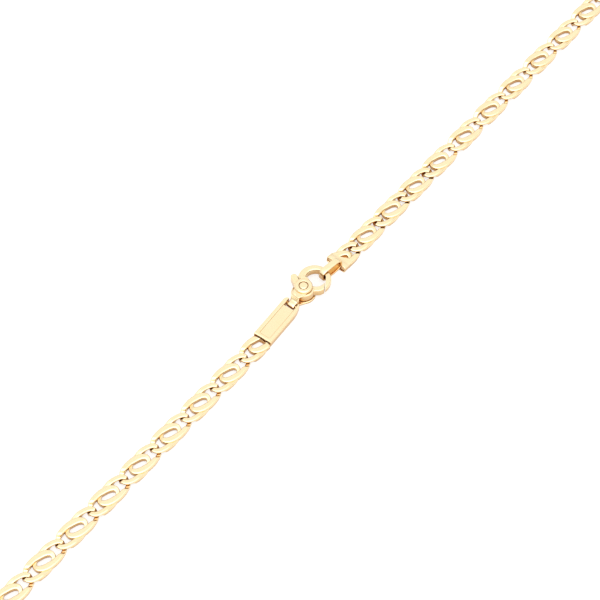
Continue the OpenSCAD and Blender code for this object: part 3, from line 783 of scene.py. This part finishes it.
# %% [markdown]
# ## The rivet
# A rivet is a bar whose ends are hammered into heads. They sit level in the cheeks, and the fine groove
# round each head is what shows. The heads are slightly domed so that they catch the light.
# A cylinder with a bevel is close, but its flat face mirrors only one tone.

# %% Rivet
HEAD_THICK, HEAD_GROOVE, DOME_RISE = 0.25, 0.07, 0.05


def rivet_profile():
    """Radius and height from the lower head's middle to the upper one's, with domed faces and a straight shank."""
    dome = np.array([0.08, 0.4, 0.65])
    rise = DOME_RISE * (1 - (dome / RIVET_HEAD_R) ** 2)
    edge = RIVET_HEAD_R - HEAD_GROOVE
    lower = [[r, FOOT_Z + DOME_RISE - h] for r, h in zip(dome, rise)]
    lower += [[edge - 0.05, FOOT_Z + DOME_RISE], [edge, FOOT_Z + 0.1], [edge, FOOT_Z + HEAD_THICK],
              [RIVET_R, FOOT_Z + HEAD_THICK]]
    upper = [[r, CLASP_THICK - DOME_RISE + h] for r, h in zip(dome, rise)]
    upper += [[edge - 0.1, CLASP_THICK - DOME_RISE], [edge - 0.03, CLASP_THICK - 0.08], [edge, CLASP_THICK - 0.16],
              [edge, CLASP_THICK - HEAD_THICK], [RIVET_R, CLASP_THICK - HEAD_THICK]]
    return lower + upper[::-1]


make_piece("rivet", put([turned_piece(rivet_profile(), ring=False)], RIVET_PLACE), fitting_gold, "necklace",
           ["clasp_rivet"])

# %% [markdown]
# ## The cap
# The cap is folded from sheet: a low box, open towards the clasp, with a bright lip round its mouth.
# Its skin goes along the outside to the lip, round it, and back in along the inside, so the wall has its
# real thickness. A Solidify modifier on an open box would do that too, but gives no lip that leans.
# A flat plate joins its back to half a link, whose hole is partly filled with solder.

# %% Cap
CAP_WIDTH, CAP_THICK, CAP_FLAT, CAP_SLOPE, CAP_WALL, LIP_LEAN = 4.4, 1.45, 1.0, 0.7, 0.2, 0.18
CAP_PLACE = np.array([10.1, 0.2, 0.0])
HALF_LINK_IN, BAIL_IN = 0.3, 0.85  # how far the half link and the bail reach into the cap
cap_length = CAP_FLAT + CAP_SLOPE


def cap_skin(around=72):
    """Rounded boxes from the back, along the outside, over the lip and into the mouth. Each is a soft square
    between a bottom and a top that slopes down behind the flat, less the inset of that row."""
    x = np.array([cap_length, cap_length - 0.02, 1.5, 1.3, 1.1, 0.9, 0.7, 0.4, 0.12, 0.05, 0.015, 0.0,
                  0.015, 0.05, 0.12, 0.18, 0.23, 0.26])
    inset = np.array([0.12, 0.0, 0.0, 0.0, 0.0, 0.0, 0.0, 0.0, 0.0, 0.01, 0.04, 0.09, 0.14, 0.17, 0.19, CAP_WALL,
                      CAP_WALL, 0.35])
    top = CAP_THICK - (CAP_THICK - CHAIN_THICK) * ease(x, 0.5, 1.9)
    across, up = soft_square(around, 0.28)
    y = (CAP_WIDTH / 2 - inset)[:, None] * across
    z = (top / 2)[:, None] + (top / 2 - inset)[:, None] * up
    lean = LIP_LEAN * z / CAP_THICK * (1 - ease(x, 0.0, 0.85))[:, None]
    return skin(np.stack([x[:, None] + lean, y, z], -1))


back_plate = np.array([[1.0, -2.1], [1.0, 2.0], [cap_length, 2.05], [2.3, 1.7], [1.9, 0.5], [2.6, -1.1], [2.6, -2.2],
                       [cap_length, -2.2]])
solder = np.array([[2.0, -1.2], [3.9, -1.2], [4.33, -0.7], [4.33, 0.3], [3.9, 0.7], [2.0, 0.7]])

print("the cap is", round(cap_length, 2), "mm long and", CAP_WIDTH, "mm wide")

# %% [markdown]
# ## The bail
# The bail is a flat band, bent into an upright ring and soldered in the cap's mouth. The hook closes through it.
# Its outline is an oval that is nearly square, and a soft square section is carried round it. A torus would be
# round in outline and section. The points on its inside are marked in the mesh, and the finish paints an orange
# reflection of the facing gold there, because a wall's steepness can't tell the inside of a ring from its outside.

# %% Bail and cap
BAIL_HEIGHT, BAIL_WIDTH, BAIL_BAND, BAIL_TURN = 2.95, 1.2, 0.42, -7.0
BAIL_SQUARE = 0.6  # power of the oval, 1 for an ellipse and 0 for a rectangle
BAIL_PLACE = np.array([5.75, 0.33, 0.0])
INSIDE_LIMIT = -0.7


def bail_skin(along=72, around=20):
    """A soft square section of the band, carried round an upright squared oval: the outline less the band's
    thickness gives its inside."""
    half_length = (CAP_PLACE[0] + BAIL_IN - BAIL_PLACE[0]) / 2
    outside = oval(half_length, BAIL_HEIGHT / 2, along, BAIL_SQUARE)
    inside = oval(half_length - BAIL_BAND, BAIL_HEIGHT / 2 - BAIL_BAND, along, BAIL_SQUARE)
    thick, wide = soft_square(around, 0.5)
    ring = (outside + inside)[:, None] / 2 + (outside - inside)[:, None] / 2 * thick[None, :, None]
    y = np.broadcast_to(BAIL_WIDTH / 2 * wide, ring.shape[:2])
    return skin(np.stack([ring[..., 0] + half_length, y, ring[..., 1] + BAIL_HEIGHT / 2], -1), ring_path=True)


# Marks where the finish paints an orange reflection of gold, on the bail's inside
def bail_inside(along=72, around=20):
    """1 at the points on the inside of the band, where its section's first coordinate is under INSIDE_LIMIT."""
    return np.tile(soft_square(around, 0.5)[0] < INSIDE_LIMIT, along).astype(float)


cap = put([cap_skin(), plate(back_plate, 0.0, CHAIN_THICK - 0.01, 0.1)], CAP_PLACE)
cap += put([bail_skin()], BAIL_PLACE, BAIL_TURN)
cap += half_link(CAP_LINK_X, CAP_PLACE[0] + cap_length - HALF_LINK_IN, -1, strand_end=WIDEST_END)
cap += put([plate(solder, bottom=0.1, top=0.6, edge=0.1, rounding=0.2)], CAP_PLACE)
make_piece("cap", cap, fitting_gold, "necklace", ["end_cap"], painted_reflection_mask={2: bail_inside()})

# %% [markdown]
# ## The table
# Catalogue jewellery lies on a white sheet that is lit so well that its shadows are faint. A plain diffuse plane
# would go grey under the chain and in the links' holes. So the sheet reflects a third of the light
# and glows softly for the rest, which keeps the holes white and leaves a faint shadow round the metal.

# %% White table
TABLE_HALF, TABLE_DROP = 4, 1e-5  # metres; the drop keeps it clear of the metal's undersides
PAPER_TONE, PAPER_GLOW, GLOW_STRENGTH, PAPER_ROUGHNESS = (0.36, 0.35, 0.34, 1), (1.0, 0.985, 0.965, 1), 0.72, 0.9

table_mesh = bpy.data.meshes.new("table")
corners = [(x * TABLE_HALF, y * TABLE_HALF, -TABLE_DROP) for x, y in ((-1, -1), (1, -1), (1, 1), (-1, 1))]
table_mesh.from_pydata(corners, [], [(0, 1, 2, 3)])
table = bpy.data.objects.new("table", table_mesh)
bpy.context.scene.collection.objects.link(table)
paper = bpy.data.materials.new("white_paper")
paper.use_nodes = True
paper_shader = paper.node_tree.nodes["Principled BSDF"]
paper_shader.inputs["Base Color"].default_value = PAPER_TONE
paper_shader.inputs["Emission Color"].default_value = PAPER_GLOW
paper_shader.inputs["Emission Strength"].default_value = GLOW_STRENGTH
paper_shader.inputs["Roughness"].default_value = PAPER_ROUGHNESS
table_mesh.materials.append(paper)
print("the table is", 2 * TABLE_HALF, "m wide and glows at", GLOW_STRENGTH)

# %% [markdown]
# ## The light
# White cloth hangs round and over the table, so the metal mirrors white nearly everywhere. It brightens
# upwards: level faces mirror its bright upper part, and steep ones the dimmer part near the horizon, or the table.
# A brighter patch high up behind the camera is mirrored by the shoulders that lean towards it, as fine bright
# lines. Area lights would leave hard-edged patches in polished metal. A sky of eased steps leaves soft ones.

# %% Sky of white cloth
HORIZON_LIGHT, UPPER_LIGHT, UPPER_FROM = 0.6, 1.1, 0.6  # the last is a sine of the height angle
PATCH_UP, PATCH_FULL, PATCH_END, PATCH_LIGHT = math.radians(62), 12, 52, 1.3

sky = bpy.data.worlds.new("white_cloth")
sky.use_nodes = True
bpy.context.scene.world = sky
start = Signal(sky.node_tree, None)
direction = start.node("ShaderNodeTexCoord", output="Generated")


def cosine_to(towards):
    """Cosine of the angle between the way a ray goes and a direction: their dot product."""
    return start.node("ShaderNodeVectorMath", {"operation": "DOT_PRODUCT"}, output="Value",
                      _0=direction, _1=tuple(Vector(towards).normalized()))


def patch(towards, inner, outer):
    """1 within the inner angle of a direction, easing to 0 at the outer one: a smooth step on the cosine."""
    cosine = cosine_to(towards)
    return start.node("ShaderNodeMapRange", {"interpolation_type": "SMOOTHSTEP"}, Value=cosine,
                      From_Min=math.cos(math.radians(outer)), From_Max=math.cos(math.radians(inner)),
                      To_Min=0.0, To_Max=1.0)


rise = start.node("ShaderNodeMapRange", {"interpolation_type": "SMOOTHSTEP"},
                  Value=cosine_to((0.0, 0.0, 1.0)), From_Min=0.0, From_Max=UPPER_FROM,
                  To_Min=HORIZON_LIGHT, To_Max=UPPER_LIGHT)
behind_camera = patch((*(-HEADING * math.cos(PATCH_UP)), math.sin(PATCH_UP)), PATCH_FULL, PATCH_END)
brightness = rise + behind_camera * PATCH_LIGHT
background = sky.node_tree.nodes["Background"]
sky.node_tree.links.new(brightness.socket, background.inputs["Strength"])
background.inputs["Color"].default_value = (1.0, 1.0, 1.0, 1)
bpy.context.scene.view_settings.view_transform = "Standard"
print("the sky goes from", HORIZON_LIGHT, "to", UPPER_LIGHT, "and has", len(sky.node_tree.nodes), "nodes")
